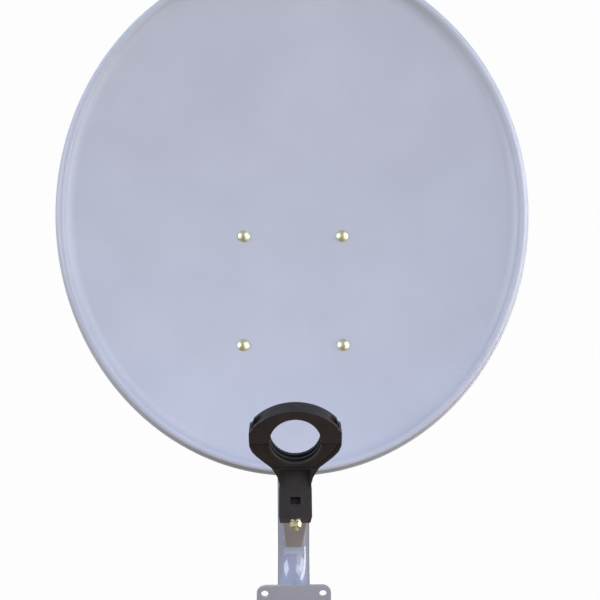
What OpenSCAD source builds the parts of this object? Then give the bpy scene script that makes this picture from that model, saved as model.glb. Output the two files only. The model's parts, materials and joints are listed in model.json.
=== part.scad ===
// Offset satellite dish on a bent wall mast.
// Origin: centre of the wall plate's wall-side face. +Z is up and the dish faces -Y.

/* [Reflector] */
// Overall width of the dish over its rim
dish_w = 612; // [606:1:616]
// Overall height of the dish, square to its face
dish_h = 673; // [668:1:680]
// Width of the stepped rim
rim_w = 19; // [17:1:22]
// Thickness of the pressed steel sheet
sheet_t = 1; // [0.8:0.1:1.4]
// Depth of the rim's skirt behind the face
skirt = 13; // [10:1:16]

/* [Wall mount] */
// Width of the wall plate
plate_w = 110; // [100:1:130]
// Height of the wall plate
plate_h = 114; // [104:1:134]
// Thickness of the wall plate
plate_t = 4; // [3:0.5:6]
// Horizontal distance between the plate's holes
plate_hole_x = 86; // [76:1:90]
// Vertical distance between the plate's holes
plate_hole_z = 88; // [78:1:92]
// Diameter of the plate's holes
plate_hole_d = 11; // [8:0.5:12]
// Outer diameter of the mast
mast_d = 50.8; // [48:0.2:51]
// Wall thickness of the mast
mast_wall = 2; // [1.5:0.1:3]
// Height of the mast's top
mast_top = 520; // [515:1:524]

/* [Feed arm] */
// Width of the feed arm's tube
arm_w = 22; // [21:0.5:22]
// Height of the feed arm's tube
arm_h = 20; // [19:0.5:20]
// Wall thickness of the feed arm's tube
arm_wall = 1.8; // [1.5:0.1:2]
// Distance from the socket's end face to the arm's rear end
arm_len = 365; // [360:1:368]

/* [Receiver holder] */
// Diameter of the receiver neck that the ring clamps
neck_d = 40; // [38:0.5:40]
// Thickness of the ring, along the neck
ring_t = 15; // [14:0.5:16]
// Width of the ring over its lugs
ring_w = 71.8; // [70:0.2:74]
// Length of the socket on the arm
socket_len = 38; // [34:1:42]

/* [Hidden] */
$fn = 64;
fit = 0.1;
run_fit = 0.06;
gap = 0.3;

// Bowl: part of a paraboloid whose vertex lies at the lower edge
bowl_a = dish_w / 2 - rim_w;
bowl_b = dish_h / 2 - rim_w;
offset_angle = acos(bowl_a / bowl_b);
chord = 2 * sqrt(pow(bowl_b, 2) - pow(bowl_a, 2));
focal = pow(bowl_a, 2) / chord;
bowl_rings = 12;
bowl_sides = 64;
bead_r = 5;
bead_mid = [6, 2];

// Face of the dish: centre of the rim's plane, and its backward lean
face_y = -34;
face_z = 602;
lean = 10;

// Bowl bolts: half spacing, and their distances along the paraboloid's radius
bolt_x = 67;
bolt_rows = [153, 292];
bolt_d = 6;
bolt_head_d = 16.6;
bolt_head_h = 3.8;
head_gap = 0.45;

// Back bracket, in the frame of the face
bracket_back = 61;
bracket_down = -95.5;
bracket_tilt = 5.4;
bracket_w = 176;
bracket_h = 176;
bracket_t = 2.5;
boss_r = 11;
boss_h = 13.4;
flange_d = 14;

// Elevation pivot and its lock bolts
pivot_y = 46;
pivot_z = 448;
pin_d = 8;
lock_r = 55;
lock_round = 11.5;
tilt_back = 22;
tilt_fwd = 25;
tilt_in = 38.5;
tilt_t = 2.5;
tilt_out = tilt_in + tilt_t;
cheek_in = tilt_out + gap;
cheek_out = cheek_in + bracket_t;

// Mast
mast_y = 100;
bend_r = 75;
mast_r = mast_d / 2;
clamp_z = [430, 482];
web_y = 66;
web_low = 412;
web_high = 503;
u_rod = 8;
u_x = mast_r + run_fit + u_rod / 2;

// Feed arm: centre of the socket's end face, and its slope
arm_y = -384;
arm_z = 391.5;
arm_slope = 35;
arm_in = arm_w / 2 - arm_wall;
socket_wall = 2;
socket_end = 6;
holder_bolt_y = 12;
m5 = 5;
m6 = 6;

// Arm support: a square tube from the arm's rivet to the back bracket's lugs
rivet_y = arm_len - 9;
rivet_r = 3;
support_top = [24, -52];
support_wall = 1.8;
support_in = arm_w / 2 + 0.2;
support_w = 2 * support_in + 2 * support_wall;
support_foot = -16;
support_tip = -21;
lug_in = support_w / 2 + fit;
lug_out = lug_in + bracket_t;
lug_bolts = [10, 50];

// Receiver ring
ring_y = -385;
ring_z = 441.5;
ring_tilt = 11;
split_z = -1.5;
split_gap = 1;
shoulder_z = 8.2;
arch_r = 44.7;
arch_top = 27;
screw_x = 30;
screw_seat = 7.6;
nut_seat = -7.2;
m4 = 4;

// ---------- frames ----------

// Face of the dish: -Y looks out of the bowl
module at_face() {
    translate([0, face_y, face_z]) rotate([-lean, 0, 0]) children();
}

// Back bracket's plate: +Y is its back
module at_bracket() {
    at_face()
        translate([0, bracket_back, bracket_down]) rotate([-bracket_tilt, 0, 0]) children();
}

// Feed arm: +Y runs down the arm from the socket's end face
module at_arm() {
    translate([0, arm_y, arm_z]) rotate([-arm_slope, 0, 0]) children();
}

// Receiver ring: origin in its front face, which looks along -Y
module at_ring() {
    translate([0, ring_y, ring_z]) rotate([ring_tilt, 0, 0]) children();
}

function turn(p, angle) = [p[0] * cos(angle) + p[1] * sin(angle),
                           p[1] * cos(angle) - p[0] * sin(angle)];
bracket_origin = [face_y, face_z] + turn([bracket_back, bracket_down], lean);
function bracket_to_world(p) = bracket_origin + turn(p, lean + bracket_tilt);
rivet_at = [arm_y, arm_z] + turn([rivet_y, 0], arm_slope);
support_at = bracket_to_world(support_top);
support_run = support_at - rivet_at;
support_len = norm(support_run);
support_angle = atan2(support_run[0], support_run[1]);

// Arm support: +Z runs from the rivet up to the lugs
module at_support() {
    translate([0, rivet_at[0], rivet_at[1]]) rotate([-support_angle, 0, 0]) children();
}

// Bowl's surface and its outward normal, in the frame of the face
function bowl_point(x, r) =
    let (z = (x * x + r * r) / (4 * focal) - chord / 2, s = r - bowl_a)
    [x, s * sin(offset_angle) - z * cos(offset_angle),
     s * cos(offset_angle) + z * sin(offset_angle)];
function bowl_back(x, r) =
    let (k = r / (2 * focal),
         n = [x / (2 * focal), cos(offset_angle) + k * sin(offset_angle),
              k * cos(offset_angle) - sin(offset_angle)])
    n / norm(n);

// One bowl bolt's place: +Z leaves the bowl's back face square to it
module at_bowl_bolt(x, r) {
    back = bowl_back(x, r);
    at_face()
        translate(bowl_point(x, r))
            rotate([0, acos(back[2]), atan2(back[1], back[0])])
                children();
}

module each_bowl_bolt() {
    for (x = [-bolt_x, bolt_x])
        for (r = bolt_rows)
            at_bowl_bolt(x, r) children();
}

// ---------- shapes that repeat ----------

module rounded_plate(w, h, r) {
    square([w - 2 * r, h], center = true);
    square([w, h - 2 * r], center = true);
    for (x = [-1, 1])
        for (y = [-1, 1])
            translate([x * (w / 2 - r), y * (h / 2 - r)]) circle(r);
}

// A flat outline in X and Z, from y0 backwards by t
module upright(y0, t) {
    translate([0, y0 + t, 0]) rotate([90, 0, 0]) linear_extrude(t) children();
}

// A flat outline in Y and Z, from x0 to the right by t
module sideways(x0, t) {
    translate([x0, 0, 0]) rotate([90, 0, 90]) linear_extrude(t) children();
}

module along_x(x0) {
    translate([x0, 0, 0]) rotate([0, 90, 0]) children();
}

// Hexagon across its flats, lying on z = 0
module hex(flats, h) {
    cylinder(d = flats / cos(30), h = h, $fn = 6);
}

// Hexagon with its corners turned down at both ends
module turned_hex(flats, h) {
    corner = flats / 2 / cos(30) + 0.2;
    flat = flats / 2 - 0.2;
    drop = (corner - flat) * tan(30);
    intersection() {
        hex(flats, h);
        rotate_extrude()
            polygon([[0, 0], [flat, 0], [corner, drop], [corner, h - drop], [flat, h], [0, h]]);
    }
}

module nut(d, flats, h) {
    difference() {
        turned_hex(flats, h);
        translate([0, 0, -1]) cylinder(d = d + 2 * fit, h = h + 2);
    }
}

module washer(d, outer, h) {
    difference() {
        cylinder(d = outer, h = h);
        translate([0, 0, -1]) cylinder(d = d + 0.4, h = h + 2);
    }
}

// Bolt with its head's underside on z = 0 and its shank along +Z
module hex_bolt(d, flats, head_h, len) {
    translate([0, 0, -head_h]) turned_hex(flats, head_h);
    cylinder(d = d, h = len - 1);
    translate([0, 0, len - 1]) cylinder(d1 = d, d2 = d - 1.6, h = 1);
}

module dome(d, h) {
    r = (pow(d / 2, 2) + h * h) / (2 * h);
    intersection() {
        translate([0, 0, h - r]) sphere(r);
        cylinder(d = d + 1, h = h + 1);
    }
}

// ---------- wall mount ----------

module wall_plate() {
    color("slategray")
    difference() {
        upright(0, plate_t) rounded_plate(plate_w, plate_h, 13);
        for (x = [-1, 1])
            for (z = [-1, 1])
                translate([x * plate_hole_x / 2, -1, z * plate_hole_z / 2])
                    rotate([-90, 0, 0]) cylinder(d = plate_hole_d, h = plate_t + 2);
    }
}

module plate_weld() {
    weld = 4;
    root = mast_r + 0.05;
    color("slategray")
    translate([0, plate_t, 0]) rotate([-90, 0, 0])
        rotate_extrude()
            polygon([[root, 0], [root + weld, 0], [root + weld * 0.6, weld * 0.6], [root, weld]]);
}

module mast_solid(r, low, high) {
    translate([0, mast_y, bend_r]) cylinder(r = r, h = high - bend_r);
    translate([0, low, 0]) rotate([-90, 0, 0]) cylinder(r = r, h = mast_y - bend_r - low);
    translate([0, mast_y - bend_r, bend_r]) rotate([0, 90, 0])
        rotate_extrude(angle = 90) translate([bend_r, 0]) circle(r);
}

module mast_tube() {
    color("lightsteelblue")
    difference() {
        mast_solid(mast_r, plate_t, mast_top);
        mast_solid(mast_r - mast_wall, plate_t - 1, mast_top + 1);
    }
}

module mast_cap() {
    plug_r = mast_r - mast_wall - fit;
    color("black")
    translate([0, mast_y, mast_top])
        difference() {
            union() {
                translate([0, 0, -18]) cylinder(r = plug_r, h = 18);
                cylinder(r = mast_r, h = 3);
                translate([0, 0, 3]) cylinder(r1 = mast_r, r2 = mast_r - 3, h = 2);
            }
            translate([0, 0, -19]) cylinder(r = plug_r - 2.5, h = 18);
        }
}

// ---------- head that turns on the mast ----------

module tilt_bracket() {
    web_t = 3;
    low = pivot_z - 16;
    color("lightsteelblue")
    difference() {
        union() {
            translate([-tilt_out, web_y, web_low]) cube([2 * tilt_out, web_t, web_high - web_low]);
            for (x = [-tilt_out, tilt_in])
                sideways(x, tilt_t) {
                    polygon([[pivot_y - 6, low + 1], [web_y + web_t, web_low], [web_y + web_t, web_high],
                             [pivot_y + lock_round, pivot_z + lock_r + 6],
                             [pivot_y - lock_round, pivot_z + lock_r],
                             [pivot_y - 14, pivot_z]]);
                    translate([pivot_y, pivot_z]) circle(14);
                    translate([pivot_y, pivot_z + lock_r]) circle(lock_round);
                }
        }
        translate([0, pivot_y, pivot_z]) along_x(-tilt_out - 1)
            cylinder(d = pin_d + 2 * run_fit, h = 2 * tilt_out + 2);
        translate([0, pivot_y, pivot_z + lock_r]) along_x(-tilt_out - 1)
            cylinder(d = pin_d + 2 * fit, h = 2 * tilt_out + 2);
        for (x = [-u_x, u_x])
            for (z = clamp_z)
                translate([x, web_y - 1, z]) rotate([-90, 0, 0]) cylinder(d = u_rod + 0.8, h = web_t + 2);
    }
}

module mast_saddle() {
    low = clamp_z[0] - 10;
    high = clamp_z[1] + 10;
    front = web_y + 3;
    color("silver")
    difference() {
        union() {
            translate([-24, front, low]) cube([48, 20, high - low]);
            translate([-tilt_in + 1.5, front, low]) cube([2 * tilt_in - 3, 3, high - low]);
        }
        translate([0, mast_y, low - 1]) cylinder(r = mast_r + run_fit, h = high - low + 2);
        for (x = [-u_x, u_x])
            for (z = clamp_z)
                translate([x, front - 1, z]) rotate([-90, 0, 0]) cylinder(d = u_rod + 0.8, h = 22);
    }
}

module u_bolts() {
    leg_front = web_y - 14;
    color("khaki")
    for (z = clamp_z)
        translate([0, mast_y, z]) {
            rotate_extrude(angle = 180) translate([u_x, 0]) circle(d = u_rod);
            for (x = [-u_x, u_x])
                translate([x, leg_front - mast_y, 0]) rotate([-90, 0, 0])
                    cylinder(d = u_rod, h = mast_y - leg_front);
        }
}

module each_u_leg(y) {
    for (x = [-u_x, u_x])
        for (z = clamp_z)
            translate([x, y, z]) rotate([90, 0, 0]) children();
}

module u_bolt_washers() {
    color("khaki") each_u_leg(web_y) washer(u_rod, 16, 1.6);
}

module u_bolt_nuts() {
    color("khaki") each_u_leg(web_y - 1.6) nut(u_rod, 13, 6.5);
}

module at_pivot() {
    translate([0, pivot_y, pivot_z]) children();
}

stack = cheek_out + gap / 2;

module tilt_bolt() {
    reach = stack + 1.6;
    color("khaki") at_pivot() along_x(-reach) hex_bolt(pin_d, 13, 5.3, 2 * reach + 10);
}

module tilt_washers() {
    color("khaki")
    at_pivot()
        for (side = [0, 1])
            mirror([side, 0, 0]) along_x(stack) washer(pin_d, 16, 1.6);
}

module tilt_nut() {
    color("khaki") at_pivot() along_x(stack + 1.6) nut(pin_d, 13, 6.5);
}

module each_lock() {
    translate([0, pivot_y, pivot_z + lock_r])
        for (side = [0, 1])
            mirror([side, 0, 0]) children();
}

module lock_bolts() {
    color("khaki") each_lock() along_x(tilt_in) hex_bolt(pin_d, 13, 5.3, 19);
}

module lock_washers() {
    color("khaki") each_lock() along_x(stack) washer(pin_d, 20, 1.6);
}

module lock_nuts() {
    color("khaki") each_lock() along_x(stack + 1.6) nut(pin_d, 13, 6.5);
}

// ---------- reflector and its bracket ----------

function bowl_ring(share, depth) = [
    for (i = [0 : bowl_sides - 1])
        let (a = 360 * i / bowl_sides,
             x = bowl_a * share * cos(a),
             r = bowl_a * (1 + share * sin(a)))
        bowl_point(x, r) + depth * bowl_back(x, r)
];

// Ring of the rim at w outside the bowl's edge and n in front of it
function rim_ring(p) = [
    for (i = [0 : bowl_sides - 1])
        let (a = 360 * i / bowl_sides)
        [(bowl_a + p[0]) * cos(a), -p[1], (bowl_b + p[0]) * sin(a)]
];

function rim_path(t) = concat(
    [for (a = [165 : -29 : 20]) bead_mid + (bead_r - t) * [cos(a), sin(a)]],
    [[rim_w - 2.5 - t, 2 - skirt], [rim_w - t, -skirt]]
);

module reflector_shell() {
    front = [for (i = [1 : bowl_rings]) bowl_ring(i / bowl_rings, 0)];
    rim_front = [for (p = rim_path(0)) rim_ring(p)];
    rim_rear = [for (p = rim_path(sheet_t)) rim_ring(p)];
    rear = [for (i = [1 : bowl_rings]) bowl_ring(i / bowl_rings, sheet_t)];
    last_rim = len(rim_rear) - 1;
    rings = concat(
        front, rim_front,
        [for (i = [0 : last_rim]) rim_rear[last_rim - i]],
        [for (i = [0 : bowl_rings - 1]) rear[bowl_rings - 1 - i]]
    );
    count = len(rings);
    points = concat(
        [bowl_point(0, bowl_a)],
        [for (ring = rings) each ring],
        [bowl_point(0, bowl_a) + sheet_t * bowl_back(0, bowl_a)]
    );
    rear_pole = len(points) - 1;
    faces = concat(
        [for (i = [0 : bowl_sides - 1]) [0, 1 + (i + 1) % bowl_sides, 1 + i]],
        [for (k = [0 : count - 2])
            for (i = [0 : bowl_sides - 1])
                let (j = (i + 1) % bowl_sides, a = 1 + k * bowl_sides, b = a + bowl_sides)
                each [[a + i, a + j, b + j], [a + i, b + j, b + i]]],
        [for (i = [0 : bowl_sides - 1])
            let (a = 1 + (count - 1) * bowl_sides)
            [rear_pole, a + i, a + (i + 1) % bowl_sides]]
    );
    polyhedron(points, faces, convexity = 6);
}

module reflector() {
    color("lightsteelblue")
    difference() {
        at_face() reflector_shell();
        each_bowl_bolt() translate([0, 0, -4]) cylinder(d = bolt_d + 2 * fit, h = 12);
    }
}

module reflector_bolts() {
    color("khaki")
    each_bowl_bolt() {
        mirror([0, 0, 1]) translate([0, 0, head_gap]) dome(bolt_head_d, bolt_head_h);
        translate([0, 0, -head_gap - 1]) cylinder(d = bolt_d, h = boss_h + 14);
    }
}

module reflector_washers() {
    color("khaki") each_bowl_bolt() translate([0, 0, sheet_t + gap + boss_h]) washer(bolt_d, 14, 1.4);
}

module reflector_nuts() {
    color("khaki") each_bowl_bolt() translate([0, 0, sheet_t + gap + boss_h + 1.4]) nut(bolt_d, 10, 5);
}

// Pivot in the bracket's own frame
pivot_in = turn([pivot_y, pivot_z] - bracket_origin, -(lean + bracket_tilt));

// Points of an arc about a centre
function arc(mid, r, from, to, step) = [
    for (a = [from : step : to]) mid + r * [cos(a), sin(a)]
];

module lock_slot() {
    // At rest the lock bolt stands straight above the pivot
    rest = 90 + lean + bracket_tilt;
    low = rest - tilt_fwd;
    high = rest + tilt_back;
    half = pin_d / 2 + gap;
    low_end = pivot_in + lock_r * [cos(low), sin(low)];
    high_end = pivot_in + lock_r * [cos(high), sin(high)];
    polygon(concat(
        arc(pivot_in, lock_r + half, low, high - 1, 2),
        arc(high_end, half, high, high + 180, 20),
        arc(pivot_in, lock_r - half, high - 2, low + 1, -2),
        arc(low_end, half, low + 180, low + 350, 20)
    ));
}

module cheek() {
    inner = bracket_t - 0.5;
    difference() {
        polygon(concat(
            [[inner, -70], [inner, 52], [pivot_in[0] + 2, 38], [pivot_in[0] + 26, 8]],
            arc(pivot_in, 15, 10, -130, -10)
        ));
        lock_slot();
        translate(pivot_in) circle(d = pin_d + 2 * run_fit);
    }
}

module lug() {
    inner = bracket_t - 0.5;
    polygon([[inner, -84], [8, -116], [32, -116], [38, -50], [30, -38], [inner, -38]]);
}

// Plate and its two side flanges, seen from above
module bracket_profile() {
    half = bracket_w / 2;
    polygon([[-half, 0], [half, 0], [half, flange_d], [half - bracket_t, flange_d],
             [half - bracket_t, bracket_t], [bracket_t - half, bracket_t],
             [bracket_t - half, flange_d], [-half, flange_d]]);
}

module back_bracket() {
    color("lightsteelblue")
    difference() {
        union() {
            at_bracket() {
                translate([0, 0, -bracket_h / 2]) linear_extrude(bracket_h) bracket_profile();
                for (x = [-cheek_out, cheek_in])
                    sideways(x, bracket_t) cheek();
                for (x = [-lug_out, lug_in])
                    sideways(x, bracket_t) lug();
            }
            each_bowl_bolt() translate([0, 0, sheet_t + gap]) cylinder(r = boss_r, h = boss_h);
        }
        each_bowl_bolt() cylinder(d = bolt_d + 2 * fit, h = 40);
        at_lug_bolts(-20) cylinder(d = m6 + 2 * fit, h = 40);
    }
}

// ---------- arm support ----------

module at_lug_bolts(x) {
    at_support()
        for (z = lug_bolts)
            translate([x, 0, support_len - z]) rotate([0, 90, 0]) children();
}

module at_rivet(x) {
    at_arm() translate([x, rivet_y, 0]) rotate([0, 90, 0]) children();
}

// Side outline: the front corner reaches lowest, and the foot rises to the back
module support_side() {
    half = support_w / 2;
    polygon([[-half, support_len], [-half, support_tip + 2], [2 - half, support_tip],
             [5 - half, support_tip + 1], [half, -half], [half, support_len]]);
}

module arm_support() {
    inner = 2 * support_in;
    color("lightsteelblue")
    difference() {
        at_support() sideways(-support_w / 2, support_w) support_side();
        at_support()
            translate([-support_in, -support_in, 2 * support_tip])
                cube([inner, inner, support_len - 2 * support_tip + 1]);
        // The front wall stops above the tips of the side walls
        at_support()
            translate([-support_in, -support_w, 2 * support_tip])
                cube([inner, support_w, support_foot - 2 * support_tip]);
        // Way in for the arm
        at_arm()
            translate([-arm_w / 2 - fit, rivet_y - 40, -arm_h / 2 - fit])
                cube([arm_w + 2 * fit, 45, arm_h + 2 * fit]);
        at_rivet(-20) cylinder(r = rivet_r + fit, h = 40);
        at_lug_bolts(-20) cylinder(d = m6 + 2 * fit, h = 40);
    }
}

module arm_rivet() {
    half = support_w / 2;
    color("lightsteelblue")
    at_rivet(0) {
        translate([0, 0, -half - 0.5]) cylinder(r = rivet_r, h = 2 * half + 1);
        for (side = [0, 1])
            mirror([0, 0, side]) translate([0, 0, half + 0.05]) dome(9, 1.2);
    }
}

module support_bolts() {
    color("khaki") at_lug_bolts(-lug_out - 1.6) hex_bolt(m6, 10, 4, 2 * lug_out + 12);
}

module support_washers() {
    color("khaki") {
        at_lug_bolts(-lug_out - 1.6) washer(m6, 12, 1.6);
        at_lug_bolts(lug_out) washer(m6, 12, 1.6);
    }
}

module support_nuts() {
    color("khaki") at_lug_bolts(lug_out + 1.6) nut(m6, 10, 5);
}

// ---------- feed arm ----------

module feed_arm() {
    start = socket_end + fit;
    inner_h = arm_h - 2 * arm_wall;
    color("gainsboro")
    difference() {
        at_arm() upright(start, arm_len - start) rounded_plate(arm_w, arm_h, 2.5);
        at_arm() translate([-arm_in, 0, -inner_h / 2]) cube([2 * arm_in, arm_len + 1, inner_h]);
        at_rivet(-20) cylinder(r = rivet_r + fit, h = 40);
        at_arm() translate([0, holder_bolt_y, -20]) cylinder(d = m5 + 2 * fit, h = 20);
    }
}

// ---------- receiver holder ----------

socket_w = arm_w + 2 * socket_wall;
socket_h = arm_h + 2 * socket_wall;
neck_r = neck_d / 2;

// Right half of the lower body's outline, from the split down to the socket
body_side = [[ring_w / 2, split_z - split_gap], [ring_w / 2 - 0.3, -4], [ring_w / 2 - 2.2, -8.9],
             [ring_w / 2 - 6.1, -13.5], [24, -18.9], [18.9, -23.5], [16.3, -28.2], [14, -32.8],
             [13.1, -37.4]];

module body_outline() {
    polygon(concat(body_side, [for (i = [len(body_side) - 1 : -1 : 0])
        [-body_side[i][0], body_side[i][1]]]));
}

module lnb_holder_body() {
    lip = 1.1;
    neck_foot = body_side[len(body_side) - 1];
    color([0.16, 0.15, 0.15])
    difference() {
        union() {
            at_ring() upright(0, ring_t) body_outline();
            // Neck between the ring and the socket
            hull() {
                at_ring()
                    translate([0.3 - neck_foot[0], 0.3, neck_foot[1] + 1])
                        cube([2 * neck_foot[0] - 0.6, ring_t - 0.7, 6]);
                at_arm()
                    translate([0.3 - socket_w / 2, 0.6, socket_h / 2 - 4]) cube([socket_w - 0.6, 24, 3.5]);
            }
            at_arm() upright(0, socket_len) rounded_plate(socket_w, socket_h, 1.2);
        }
        // Recessed front face inside a raised lip
        at_ring()
            difference() {
                upright(-1, 1 + lip)
                    intersection() {
                        scale(0.94) body_outline();
                        translate([-40, -24]) square([80, 40]);
                    }
                translate([0, -5, 0]) rotate([-90, 0, 0]) cylinder(r = neck_r + 2.5, h = 20);
            }
        // Channel down the neck between two side ribs
        at_ring()
            sideways(-11.7, 23.4)
                polygon([[-3, -25], [8, -25], [8.2, -26.5], [6.2, -31], [2.4, -37], [-3, -43]]);
        // Seat of the receiver's neck, with two grooves
        at_ring() translate([0, -5, 0]) rotate([-90, 0, 0]) cylinder(r = neck_r, h = ring_t + 30);
        for (y = [3, 8.5])
            at_ring() translate([0, y, 0]) rotate([-90, 0, 0]) cylinder(r = neck_r + 1.6, h = 3.5);
        // Hole for the arm
        at_arm()
            translate([-arm_w / 2 - fit, socket_end, -arm_h / 2 - fit])
                cube([arm_w + 2 * fit, socket_len, arm_h + 2 * fit]);
        // Blind window in the socket's end
        at_arm() translate([-4, -1, -1.8]) cube([8, 6, 5.5]);
        at_arm() translate([0, holder_bolt_y, -socket_h]) cylinder(d = m5 + 2 * fit, h = socket_h);
        for (x = [-screw_x, screw_x])
            at_ring() {
                translate([x, ring_t / 2, nut_seat - 2]) cylinder(d = m4 + 2 * fit, h = 20);
                translate([x - 3.6, ring_t / 2 - 4.4, nut_seat]) cube([7.2, ring_t, 3.4]);
            }
    }
}

module lnb_clamp_cap() {
    lug = ring_w / 2;
    half = lug - 3.1;
    color([0.16, 0.15, 0.15])
    difference() {
        at_ring() upright(0, ring_t) {
            intersection() {
                translate([0, arch_top - arch_r]) circle(arch_r, $fn = 96);
                translate([-half, split_z]) square([2 * half, 40]);
            }
            polygon([[-lug, split_z], [lug, split_z], [lug, shoulder_z], [half + 0.6, shoulder_z + 2],
                     [half - 1, shoulder_z + 4.4], [1 - half, shoulder_z + 4.4],
                     [-half - 0.6, shoulder_z + 2], [-lug, shoulder_z]]);
        }
        at_ring() translate([0, -5, 0]) rotate([-90, 0, 0]) cylinder(r = neck_r, h = ring_t + 10);
        for (x = [-screw_x, screw_x])
            at_ring() {
                translate([x, ring_t / 2, -5]) cylinder(d = m4 + 2 * fit, h = 20);
                translate([x, ring_t / 2, screw_seat]) cylinder(d = 8.8, h = 20);
            }
    }
}

module lnb_clamp_screws() {
    color("khaki")
    for (x = [-screw_x, screw_x])
        at_ring()
            translate([x, ring_t / 2, screw_seat + 0.05]) {
                dome(7.4, 2.6);
                translate([0, 0, -16.2]) cylinder(d = m4, h = 16.7);
            }
}

module lnb_clamp_nuts() {
    color("khaki")
    for (x = [-screw_x, screw_x])
        at_ring() translate([x, ring_t / 2, nut_seat + 0.1]) rotate([0, 0, 30]) nut(m4, 7, 3.2);
}

// The bolt's head sits inside the arm's top wall, under the neck
module holder_bolt() {
    color("khaki")
    at_arm() {
        translate([0, holder_bolt_y, arm_h / 2 - arm_wall - 3]) hex(8, 3);
        translate([0, holder_bolt_y, -socket_h / 2 - 8.4]) cylinder(d = m5, h = arm_h + 6);
    }
}

module holder_washer() {
    color("khaki") at_arm() translate([0, holder_bolt_y, -socket_h / 2 - 1.2]) washer(m5, 8.4, 1.2);
}

module holder_nut() {
    color("khaki") at_arm() translate([0, holder_bolt_y, -socket_h / 2 - 5.6]) nut(m5, 8, 4.2);
}

wall_plate();
plate_weld();
mast_tube();
mast_cap();
tilt_bracket();
mast_saddle();
u_bolts();
u_bolt_washers();
u_bolt_nuts();
tilt_bolt();
tilt_washers();
tilt_nut();
lock_bolts();
lock_washers();
lock_nuts();
reflector();
reflector_bolts();
reflector_washers();
reflector_nuts();
back_bracket();
arm_support();
support_bolts();
support_washers();
support_nuts();
feed_arm();
arm_rivet();
lnb_holder_body();
lnb_clamp_nuts();
holder_bolt();
holder_washer();
holder_nut();
lnb_clamp_cap();
lnb_clamp_screws();
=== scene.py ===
"""Looks of an offset satellite dish on a bent wall mast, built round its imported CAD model."""
import json
import math
from math import cos, radians, sin

import bmesh
import bpy
from mathutils import Matrix, Vector


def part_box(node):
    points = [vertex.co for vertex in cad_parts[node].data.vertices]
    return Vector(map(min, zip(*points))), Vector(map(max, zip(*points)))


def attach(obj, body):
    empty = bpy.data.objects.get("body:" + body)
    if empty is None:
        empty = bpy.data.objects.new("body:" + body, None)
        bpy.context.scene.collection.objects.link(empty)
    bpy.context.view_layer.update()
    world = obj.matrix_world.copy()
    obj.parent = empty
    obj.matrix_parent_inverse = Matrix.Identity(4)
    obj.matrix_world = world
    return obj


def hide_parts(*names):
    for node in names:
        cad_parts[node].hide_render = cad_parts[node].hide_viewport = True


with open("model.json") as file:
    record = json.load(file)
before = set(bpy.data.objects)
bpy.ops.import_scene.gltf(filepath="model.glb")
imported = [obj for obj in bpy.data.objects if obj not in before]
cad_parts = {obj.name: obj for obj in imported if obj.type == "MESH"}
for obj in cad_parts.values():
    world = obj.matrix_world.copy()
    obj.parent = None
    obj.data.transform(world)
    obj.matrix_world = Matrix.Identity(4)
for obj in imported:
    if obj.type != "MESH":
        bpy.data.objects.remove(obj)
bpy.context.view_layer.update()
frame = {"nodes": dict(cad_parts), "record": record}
NODES = frame["nodes"]
MM = 0.001

# ---------- the dish's geometry, as its CAD has it ----------

LEAN = radians(10)
FACE_CENTRE = Vector((0, -34, 602)) * MM
RIM_W = 19 * MM
SKIRT = 13 * MM
SHEET = 1.0 * MM
BEAD_R = 5 * MM
BEAD_MID = Vector((6, 2)) * MM
BOWL_A = (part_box("reflector")[1].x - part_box("reflector")[0].x) / 2 - RIM_W
BOWL_B = 336.5 * MM - RIM_W
OFFSET = math.acos(BOWL_A / BOWL_B)
CHORD = 2 * math.sqrt(BOWL_B ** 2 - BOWL_A ** 2)
FOCAL = BOWL_A ** 2 / CHORD
FACE = Matrix.Translation(FACE_CENTRE) @ Matrix.Rotation(-LEAN, 4, "X")


def bowl_point(x, r):
    """A point of the paraboloid, r from its axis and x to the side, in the frame of the face."""
    z = (x * x + r * r) / (4 * FOCAL) - CHORD / 2
    s = r - BOWL_A
    return Vector((x, s * sin(OFFSET) - z * cos(OFFSET), s * cos(OFFSET) + z * sin(OFFSET)))


# ---------- helpers ----------

def linear(hex_colour):
    """An sRGB hex colour as linear RGBA."""
    values = [int(hex_colour[i:i + 2], 16) / 255 for i in (1, 3, 5)]
    return [v / 12.92 if v <= 0.04045 else ((v + 0.055) / 1.055) ** 2.4 for v in values] + [1]


def add(tree, kind, settings=None, **inputs):
    """Adds a node and sets its properties and inputs: a socket is linked, any other value is set.

    An input is called by its name, or by i and its number."""
    made = tree.nodes.new("ShaderNode" + kind)
    for key, value in (settings or {}).items():
        setattr(made, key, value)
    for key, value in inputs.items():
        numbered = key[0] == "i" and key[1:].isdigit()
        socket = made.inputs[int(key[1:]) if numbered else key.replace("_", " ")]
        if isinstance(value, bpy.types.NodeSocket):
            tree.links.new(value, socket)
        else:
            socket.default_value = value
    return made


def new_material(name, **sockets):
    """A material with its shader, and its tree and Object coordinates."""
    material = bpy.data.materials.new(name)
    material.use_nodes = True
    tree = material.node_tree
    shader = tree.nodes["Principled BSDF"]
    for key, value in sockets.items():
        shader.inputs[key.replace("_", " ")].default_value = value
    place = add(tree, "TexCoord").outputs["Object"]
    return material, tree, shader, place


def noise(tree, place, size, detail=2, roughness=0.5):
    """Noise whose lumps are about size metres across."""
    made = add(tree, "TexNoise", Vector=place, Scale=1 / size, Detail=detail, Roughness=roughness)
    return made.outputs["Fac"]


def ramp(tree, value, stops):
    """A colour ramp of (position, hex colour) stops."""
    made = add(tree, "ValToRGB", Fac=value)
    elements = made.color_ramp.elements
    while len(elements) < len(stops):
        elements.new(0.5)
    for element, (position, colour) in zip(elements, stops):
        element.position = position
        element.color = linear(colour)
    return made.outputs["Color"]


def spread(tree, value, low, high):
    """Noise, most of which lies from 0.3 to 0.7, spread over low to high."""
    return add(tree, "MapRange", i0=value, i1=0.3, i2=0.7, i3=low, i4=high).outputs["Result"]


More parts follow.
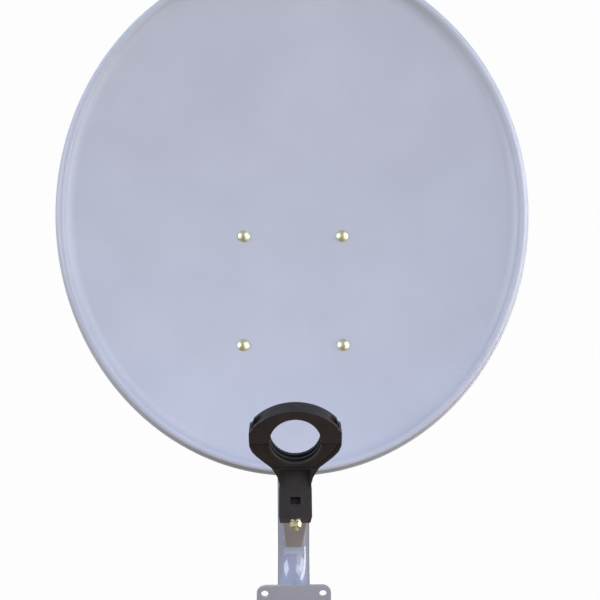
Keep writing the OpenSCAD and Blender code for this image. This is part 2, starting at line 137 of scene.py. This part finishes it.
def bump(tree, shader, height, distance):
    """Surface relief, distance metres deep."""
    made = add(tree, "Bump", Height=height, Distance=distance, Strength=1.0)
    tree.links.new(made.outputs["Normal"], shader.inputs["Normal"])


# ---------- materials ----------

def powder_coat(name, light, dark, rough, grain=1.6 * MM, depth=0.01 * MM):
    """Sprayed and baked powder on steel: satin, with a fine orange peel and a faint uneven tone."""
    material, tree, shader, place = new_material(name, IOR=1.5)
    tone = noise(tree, place, 90 * MM, 3)
    tree.links.new(ramp(tree, tone, [(0.3, dark), (0.7, light)]), shader.inputs["Base Color"])
    smudge = noise(tree, place, 25 * MM, 4, 0.6)
    tree.links.new(spread(tree, smudge, rough - 0.04, rough + 0.05), shader.inputs["Roughness"])
    bump(tree, shader, noise(tree, place, grain, 2), depth)
    return material


def gloss_enamel():
    """Wet gloss enamel on steel tube: a smooth coat with long soft waves in its reflections."""
    material, tree, shader, place = new_material(
        "gloss_enamel_grey", IOR=1.5, Coat_Weight=1.0, Coat_Roughness=0.04)
    tone = noise(tree, place, 60 * MM, 3)
    tree.links.new(ramp(tree, tone, [(0.3, "#989DAF"), (0.7, "#A0A5B7")]), shader.inputs["Base Color"])
    tree.links.new(spread(tree, noise(tree, place, 12 * MM, 3), 0.2, 0.28), shader.inputs["Roughness"])
    bump(tree, shader, noise(tree, place, 9 * MM, 1), 0.03 * MM)
    return material


def thread(tree, place, axis, pitch, start):
    """Ridges across an axis, farther than start from the origin: they stand for a thread."""
    along = add(tree, "VectorMath", {"operation": "DOT_PRODUCT"}, i0=place, i1=axis).outputs["Value"]
    turns = add(tree, "Math", {"operation": "MULTIPLY"}, i0=along, i1=2 * math.pi / pitch).outputs["Value"]
    wave = add(tree, "Math", {"operation": "SINE"}, i0=turns).outputs["Value"]
    reach = add(tree, "Math", {"operation": "ABSOLUTE"}, i0=along).outputs["Value"]
    beyond = add(tree, "Math", {"operation": "GREATER_THAN"}, i0=reach, i1=start).outputs["Value"]
    return add(tree, "Math", {"operation": "MULTIPLY"}, i0=wave, i1=beyond).outputs["Value"]


def yellow_zinc(name="yellow_passivated_zinc", axis=None, pitch=1.25 * MM, start=0.0):
    """Zinc plate passivated yellow: pale gold metal with a faint green and pink film."""
    material, tree, shader, place = new_material(name, Metallic=1.0)
    film = noise(tree, place, 5 * MM, 2)
    colours = [(0.3, "#EDE8B4"), (0.45, "#E6E8C0"), (0.6, "#F4ECBB"), (0.72, "#ECDCB2")]
    tree.links.new(ramp(tree, film, colours), shader.inputs["Base Color"])
    tree.links.new(spread(tree, noise(tree, place, 1.5 * MM, 3), 0.34, 0.48), shader.inputs["Roughness"])
    if axis:
        bump(tree, shader, thread(tree, place, axis, pitch, start), 0.3 * MM)
    else:
        bump(tree, shader, noise(tree, place, 0.8 * MM, 2), 0.01 * MM)
    return material


def clear_zinc():
    """Clear zinc plate on pressed steel: dull silver with faint blooms."""
    material, tree, shader, place = new_material("clear_zinc_plate", Metallic=1.0)
    bloom = noise(tree, place, 8 * MM, 3)
    tree.links.new(ramp(tree, bloom, [(0.3, "#B6BABD"), (0.7, "#CDD0D1")]), shader.inputs["Base Color"])
    tree.links.new(spread(tree, bloom, 0.34, 0.48), shader.inputs["Roughness"])
    bump(tree, shader, noise(tree, place, 1.2 * MM, 2), 0.01 * MM)
    return material


def black_nylon():
    """Glass-filled nylon from a spark-textured mould: dull black, fine grain, paler fibre bloom."""
    material, tree, shader, place = new_material(
        "glass_filled_nylon_black", IOR=1.53, Specular_IOR_Level=0.35)
    bloom = noise(tree, place, 14 * MM, 4, 0.6)
    tree.links.new(ramp(tree, bloom, [(0.35, "#282220"), (0.7, "#312B27")]), shader.inputs["Base Color"])
    tree.links.new(spread(tree, noise(tree, place, 6 * MM, 3), 0.42, 0.56), shader.inputs["Roughness"])
    # The mould's spark grain is about 0.3 mm; drawn at 0.8 mm so that it shows
    bump(tree, shader, noise(tree, place, 0.8 * MM, 2), 0.02 * MM)
    return material


def black_polythene():
    """Soft moulded polythene: dark, waxy and slightly uneven."""
    material, tree, shader, place = new_material("polythene_black", IOR=1.5)
    bloom = noise(tree, place, 10 * MM, 3)
    tree.links.new(ramp(tree, bloom, [(0.3, "#1D1D1E"), (0.7, "#252526")]), shader.inputs["Base Color"])
    tree.links.new(spread(tree, bloom, 0.4, 0.55), shader.inputs["Roughness"])
    bump(tree, shader, noise(tree, place, 2 * MM, 2), 0.03 * MM)
    return material


DISH_PAINT = powder_coat("powder_coat_blue_grey", "#C3C6D0", "#BDC0CA", 0.36)
BRACKET_PAINT = powder_coat("powder_coat_grey", "#A9AEBB", "#A2A7B4", 0.42)
PLATE_PAINT = powder_coat("powder_coat_dark_grey", "#A8A7AE", "#A09FA6", 0.4)
ARM_PAINT = powder_coat("powder_coat_arm_grey", "#BBB5B4", "#B3ADAC", 0.4)
MAST_PAINT = gloss_enamel()
ZINC = yellow_zinc()
SADDLE = clear_zinc()
NYLON = black_nylon()
POLYTHENE = black_polythene()
WELD_PAINT = powder_coat("powder_coat_weld", "#A8A7AE", "#A09FA6", 0.4, 4 * MM, 0.5 * MM)
BACK_AXIS = (0, 1, 0)
SIDE_AXIS = (1, 0, 0)
ARM_NORMAL = (0, sin(radians(35)), cos(radians(35)))

# ---------- meshes ----------

MERGE = 0.004 * MM
FLAT = radians(0.4)
HARD_EDGE = radians(38)
SHARP_ON_PARTS = radians(50)
SHARP_ON_DISH = radians(70)


def link(bm, name, material, body, slot, *stands_for):
    """Makes a piece of a mesh, on its body, in place of the CAD nodes it stands for; its slot is not used.
    """
    mesh = bpy.data.meshes.new(name)
    bm.to_mesh(mesh)
    bm.free()
    piece = bpy.data.objects.new(name, mesh)
    bpy.context.scene.collection.objects.link(piece)
    mesh.materials.append(material)
    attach(piece, body)
    if stands_for:
        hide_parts(*stands_for)
    return piece


def smooth_all(bm, sharp):
    """Smooth faces, with edges past the sharp angle left hard."""
    for face in bm.faces:
        face.smooth = True
    for edge in bm.edges:
        edge.smooth = not (edge.is_manifold and edge.calc_face_angle(0) > sharp)


def weigh_normals(piece):
    """Lets the large faces set the shading, so that flats stay flat beside a rounded edge."""
    weighed = piece.modifiers.new("weighed", "WEIGHTED_NORMAL")
    weighed.keep_sharp = True


def ease(node, radius, material, body, slot):
    """A copy of a CAD node with its seams merged and its hard edges rounded."""
    bm = bmesh.new()
    bm.from_mesh(NODES[node].data)
    bmesh.ops.remove_doubles(bm, verts=bm.verts, dist=MERGE)
    bmesh.ops.dissolve_limit(bm, angle_limit=FLAT, verts=bm.verts, edges=bm.edges)
    edges = [e for e in bm.edges if e.is_manifold and e.calc_face_angle(0) > HARD_EDGE]
    bmesh.ops.bevel(bm, geom=edges, offset=radius, offset_type="OFFSET", segments=2, profile=0.5,
                    affect="EDGES", clamp_overlap=True, material=-1)
    smooth_all(bm, SHARP_ON_PARTS)
    piece = link(bm, node + "_finished", material, body, slot, node)
    weigh_normals(piece)


def rim_rings():
    """Outline of the rim from the bowl's edge to the skirt's lip, as (outwards, forwards)."""
    turns = [radians(a) for a in range(165, 19, -12)]
    bead = [BEAD_MID + BEAD_R * Vector((cos(a), sin(a))) for a in turns]
    foot = Vector((RIM_W - 2.5 * MM, 2 * MM - SKIRT))
    skirt = [bead[-1].lerp(foot, t) for t in (0.25, 0.5, 0.75, 1)]
    return bead + skirt + [Vector((RIM_W - 1 * MM, 0.6 * MM - SKIRT)), Vector((RIM_W, -SKIRT))]


def make_reflector():
    """Pressed bowl and rolled rim: rings grow from a small disc, then each moves to its place."""
    sides = 192
    bowl_rings = 30
    bm = bmesh.new()
    first = 1 / bowl_rings
    bmesh.ops.create_circle(bm, cap_ends=True, cap_tris=True, radius=first, segments=sides)
    rims = rim_rings()
    reach = first
    for ring in range(2, bowl_rings + len(rims) + 1):
        grown = bmesh.ops.extrude_edge_only(bm, edges=[e for e in bm.edges if e.is_boundary])
        verts = [g for g in grown["geom"] if isinstance(g, bmesh.types.BMVert)]
        bmesh.ops.scale(bm, vec=Vector((1, 1, 1)) * (ring / bowl_rings / reach), verts=verts)
        reach = ring / bowl_rings
    for v in bm.verts:
        share = v.co.length
        angle = math.atan2(v.co.y, v.co.x)
        step = round(share * bowl_rings)
        if step <= bowl_rings:
            v.co = bowl_point(BOWL_A * share * cos(angle), BOWL_A * (1 + share * sin(angle)))
        else:
            out, ahead = rims[step - bowl_rings - 1]
            v.co = Vector(((BOWL_A + out) * cos(angle), -ahead, (BOWL_B + out) * sin(angle)))
    bmesh.ops.transform(bm, matrix=FACE, verts=bm.verts)
    bmesh.ops.recalc_face_normals(bm, faces=bm.faces)
    if bm.faces[0].normal.y > 0:
        bmesh.ops.reverse_faces(bm, faces=bm.faces)
    smooth_all(bm, SHARP_ON_DISH)
    piece = link(bm, "reflector_shell", DISH_PAINT, "dish", "dish_paint", "reflector")
    sheet = piece.modifiers.new("sheet", "SOLIDIFY")
    sheet.thickness = SHEET
    sheet.offset = -1
    sheet.use_even_offset = True


make_reflector()

BODY_OF = {n: b for b, ns in frame["record"]["behaviour"]["bodies"].items() for n in ns}
SLOT_OF = {s["node"]: s["material_slot"] for s in frame["record"]["subparts"]}
MATERIAL_OF = {
    "dish_paint": DISH_PAINT, "mast_paint": MAST_PAINT, "plate_paint": PLATE_PAINT,
    "bracket_paint": BRACKET_PAINT, "arm_paint": ARM_PAINT, "saddle_zinc": SADDLE,
    "yellow_zinc": ZINC, "holder_plastic": NYLON, "cap_plastic": POLYTHENE,
}
OWN_MATERIAL = {
    "plate_weld": WELD_PAINT,
    "tilt_bolt": yellow_zinc("yellow_zinc_tilt_bolt", SIDE_AXIS, 1.25 * MM, 53 * MM),
    "lock_bolts": yellow_zinc("yellow_zinc_lock_bolts", SIDE_AXIS, 1.25 * MM, 50 * MM),
    "support_bolts": yellow_zinc("yellow_zinc_support_bolts", SIDE_AXIS, 1 * MM, 22 * MM),
    "reflector_bolts": yellow_zinc("yellow_zinc_dish_bolts", BACK_AXIS, 1 * MM, 36 * MM),
    "holder_bolt": yellow_zinc("yellow_zinc_holder_bolt", ARM_NORMAL, 0.8 * MM, 1 * MM),
}
EDGE_OF = {
    "wall_plate": 0.8 * MM, "tilt_bracket": 0.7 * MM, "back_bracket": 0.7 * MM,
    "arm_support": 0.6 * MM, "feed_arm": 0.4 * MM, "mast_saddle": 0.8 * MM,
    "lnb_holder_body": 0.7 * MM, "lnb_clamp_cap": 0.8 * MM, "mast_cap": 0.6 * MM,
    "mast_tube": 0.4 * MM,
}
SMALL_EDGE = 0.2 * MM
for node in NODES:
    if node != "reflector":
        own = OWN_MATERIAL.get(node, MATERIAL_OF[SLOT_OF[node]])
        ease(node, EDGE_OF.get(node, SMALL_EDGE), own, BODY_OF[node], SLOT_OF[node])
for node, piece in NODES.items():
    piece.data.materials.clear()
    piece.data.materials.append(MATERIAL_OF[SLOT_OF[node]])

# ---------- floor, light and camera ----------

FLOOR_HALF = 30
FLOOR_Z = -0.6
WHITE = "#FDFDFD"
MIDDLE = (0, 0, 0.5)
LOW_MIDDLE = (0, 0.1, 0.3)


def make_stage():
    """A pale floor well below the mast."""
    bm = bmesh.new()
    bmesh.ops.create_grid(bm, x_segments=1, y_segments=1, size=FLOOR_HALF)
    bmesh.ops.translate(bm, vec=Vector((0, 0, FLOOR_Z)), verts=bm.verts)
    mesh = bpy.data.meshes.new("floor")
    bm.to_mesh(mesh)
    bm.free()
    floor = bpy.data.objects.new("floor", mesh)
    bpy.context.scene.collection.objects.link(floor)
    material, _, shader, _ = new_material("studio_floor", Roughness=0.9)
    shader.inputs["Base Color"].default_value = (0, 0, 0, 1)
    shader.inputs["Specular IOR Level"].default_value = 0
    shader.inputs["Emission Color"].default_value = linear(WHITE)
    shader.inputs["Emission Strength"].default_value = 1.0
    mesh.materials.append(material)
    # Bright to the camera only, so that the object is lit from above
    floor.visible_diffuse = False
    floor.visible_glossy = False


def area_light(name, place, aim, size, power, colour):
    """A rectangular light of so many watts, facing the point it aims at."""
    light = bpy.data.lights.new(name, "AREA")
    light.shape = "RECTANGLE"
    light.size, light.size_y = size
    light.energy = power
    light.color = linear(colour)[:3]
    lamp = bpy.data.objects.new(name, light)
    bpy.context.scene.collection.objects.link(lamp)
    lamp.location = place
    lamp.rotation_euler = (Vector(aim) - Vector(place)).to_track_quat("-Z", "Y").to_euler()
    return lamp


def make_world():
    """White behind the object; on its surfaces, bluish light from above, dim and warm from below."""
    world = bpy.data.worlds.new("studio")
    bpy.context.scene.world = world
    world.use_nodes = True
    tree = world.node_tree
    tree.nodes.clear()
    way = add(tree, "SeparateXYZ", Vector=add(tree, "TexCoord").outputs["Generated"]).outputs
    height = add(tree, "MapRange", i0=way["Z"], i1=-0.5, i2=1.0, i3=0.0, i4=1.0).outputs["Result"]
    sky = ramp(tree, height, [
        (0.0, "#A39684"), (0.3, "#B4ACA4"), (0.5, "#C2C8D6"), (1.0, "#C8D6FF")])
    side = add(tree, "MapRange", i0=way["X"], i1=-1.0, i2=1.0, i3=0.0, i4=1.0).outputs["Result"]
    across = ramp(tree, side, [
        (0.0, "#FFFFFF"), (0.35, "#D4D4D4"), (0.55, "#B8B8B8"), (1.0, "#F4F4F4")])
    multiply = {"data_type": "RGBA", "blend_type": "MULTIPLY"}
    both = add(tree, "Mix", multiply, i0=1.0, i6=sky, i7=across).outputs[2]
    seen = add(tree, "Background", Color=linear(WHITE), Strength=1.0).outputs["Background"]
    light = add(tree, "Background", Color=both, Strength=0.9).outputs["Background"]
    camera_ray = add(tree, "LightPath").outputs["Is Camera Ray"]
    mixed = add(tree, "MixShader", i0=camera_ray, i1=light, i2=seen).outputs["Shader"]
    add(tree, "OutputWorld", Surface=mixed)


def make_camera():
    """In front of the dish and a little above its middle, tilted down by 10 degrees."""
    data = bpy.data.cameras.new("camera")
    data.lens = 38.1
    data.sensor_width = 36
    camera = bpy.data.objects.new("camera", data)
    bpy.context.scene.collection.objects.link(camera)
    camera.location = (-0.003, -0.849, 0.635)
    camera.rotation_euler = (radians(80), 0, radians(-0.81))
    bpy.context.scene.camera = camera


make_stage()
make_world()
area_light("key_softbox", (1.7, -1.7, 2.0), MIDDLE, (1.6, 1.6), 30, "#E4ECFF")
area_light("low_softbox", (1.0, -1.25, 0.1), LOW_MIDDLE, (0.9, 1.2), 4.5, "#FFF4EA")
# Seen in reflections only, above all as the bright line down the mast's enamel
strip = area_light("side_strip", (1.3, 0.0, 0.35), LOW_MIDDLE, (0.38, 1.9), 13, "#FFFFFF")
strip.visible_diffuse = False
area_light("left_softbox", (-2.1, -0.95, 1.1), MIDDLE, (1.5, 1.5), 33, "#EEF2FF")
area_light("back_softbox", (-0.9, 2.3, 1.3), MIDDLE, (1.8, 1.8), 34, "#F4F6FF")
area_light("right_softbox", (1.9, -0.85, 0.7), MIDDLE, (0.8, 1.4), 17, "#F6F8FF")
make_camera()
bpy.context.scene.view_settings.view_transform = "Standard"
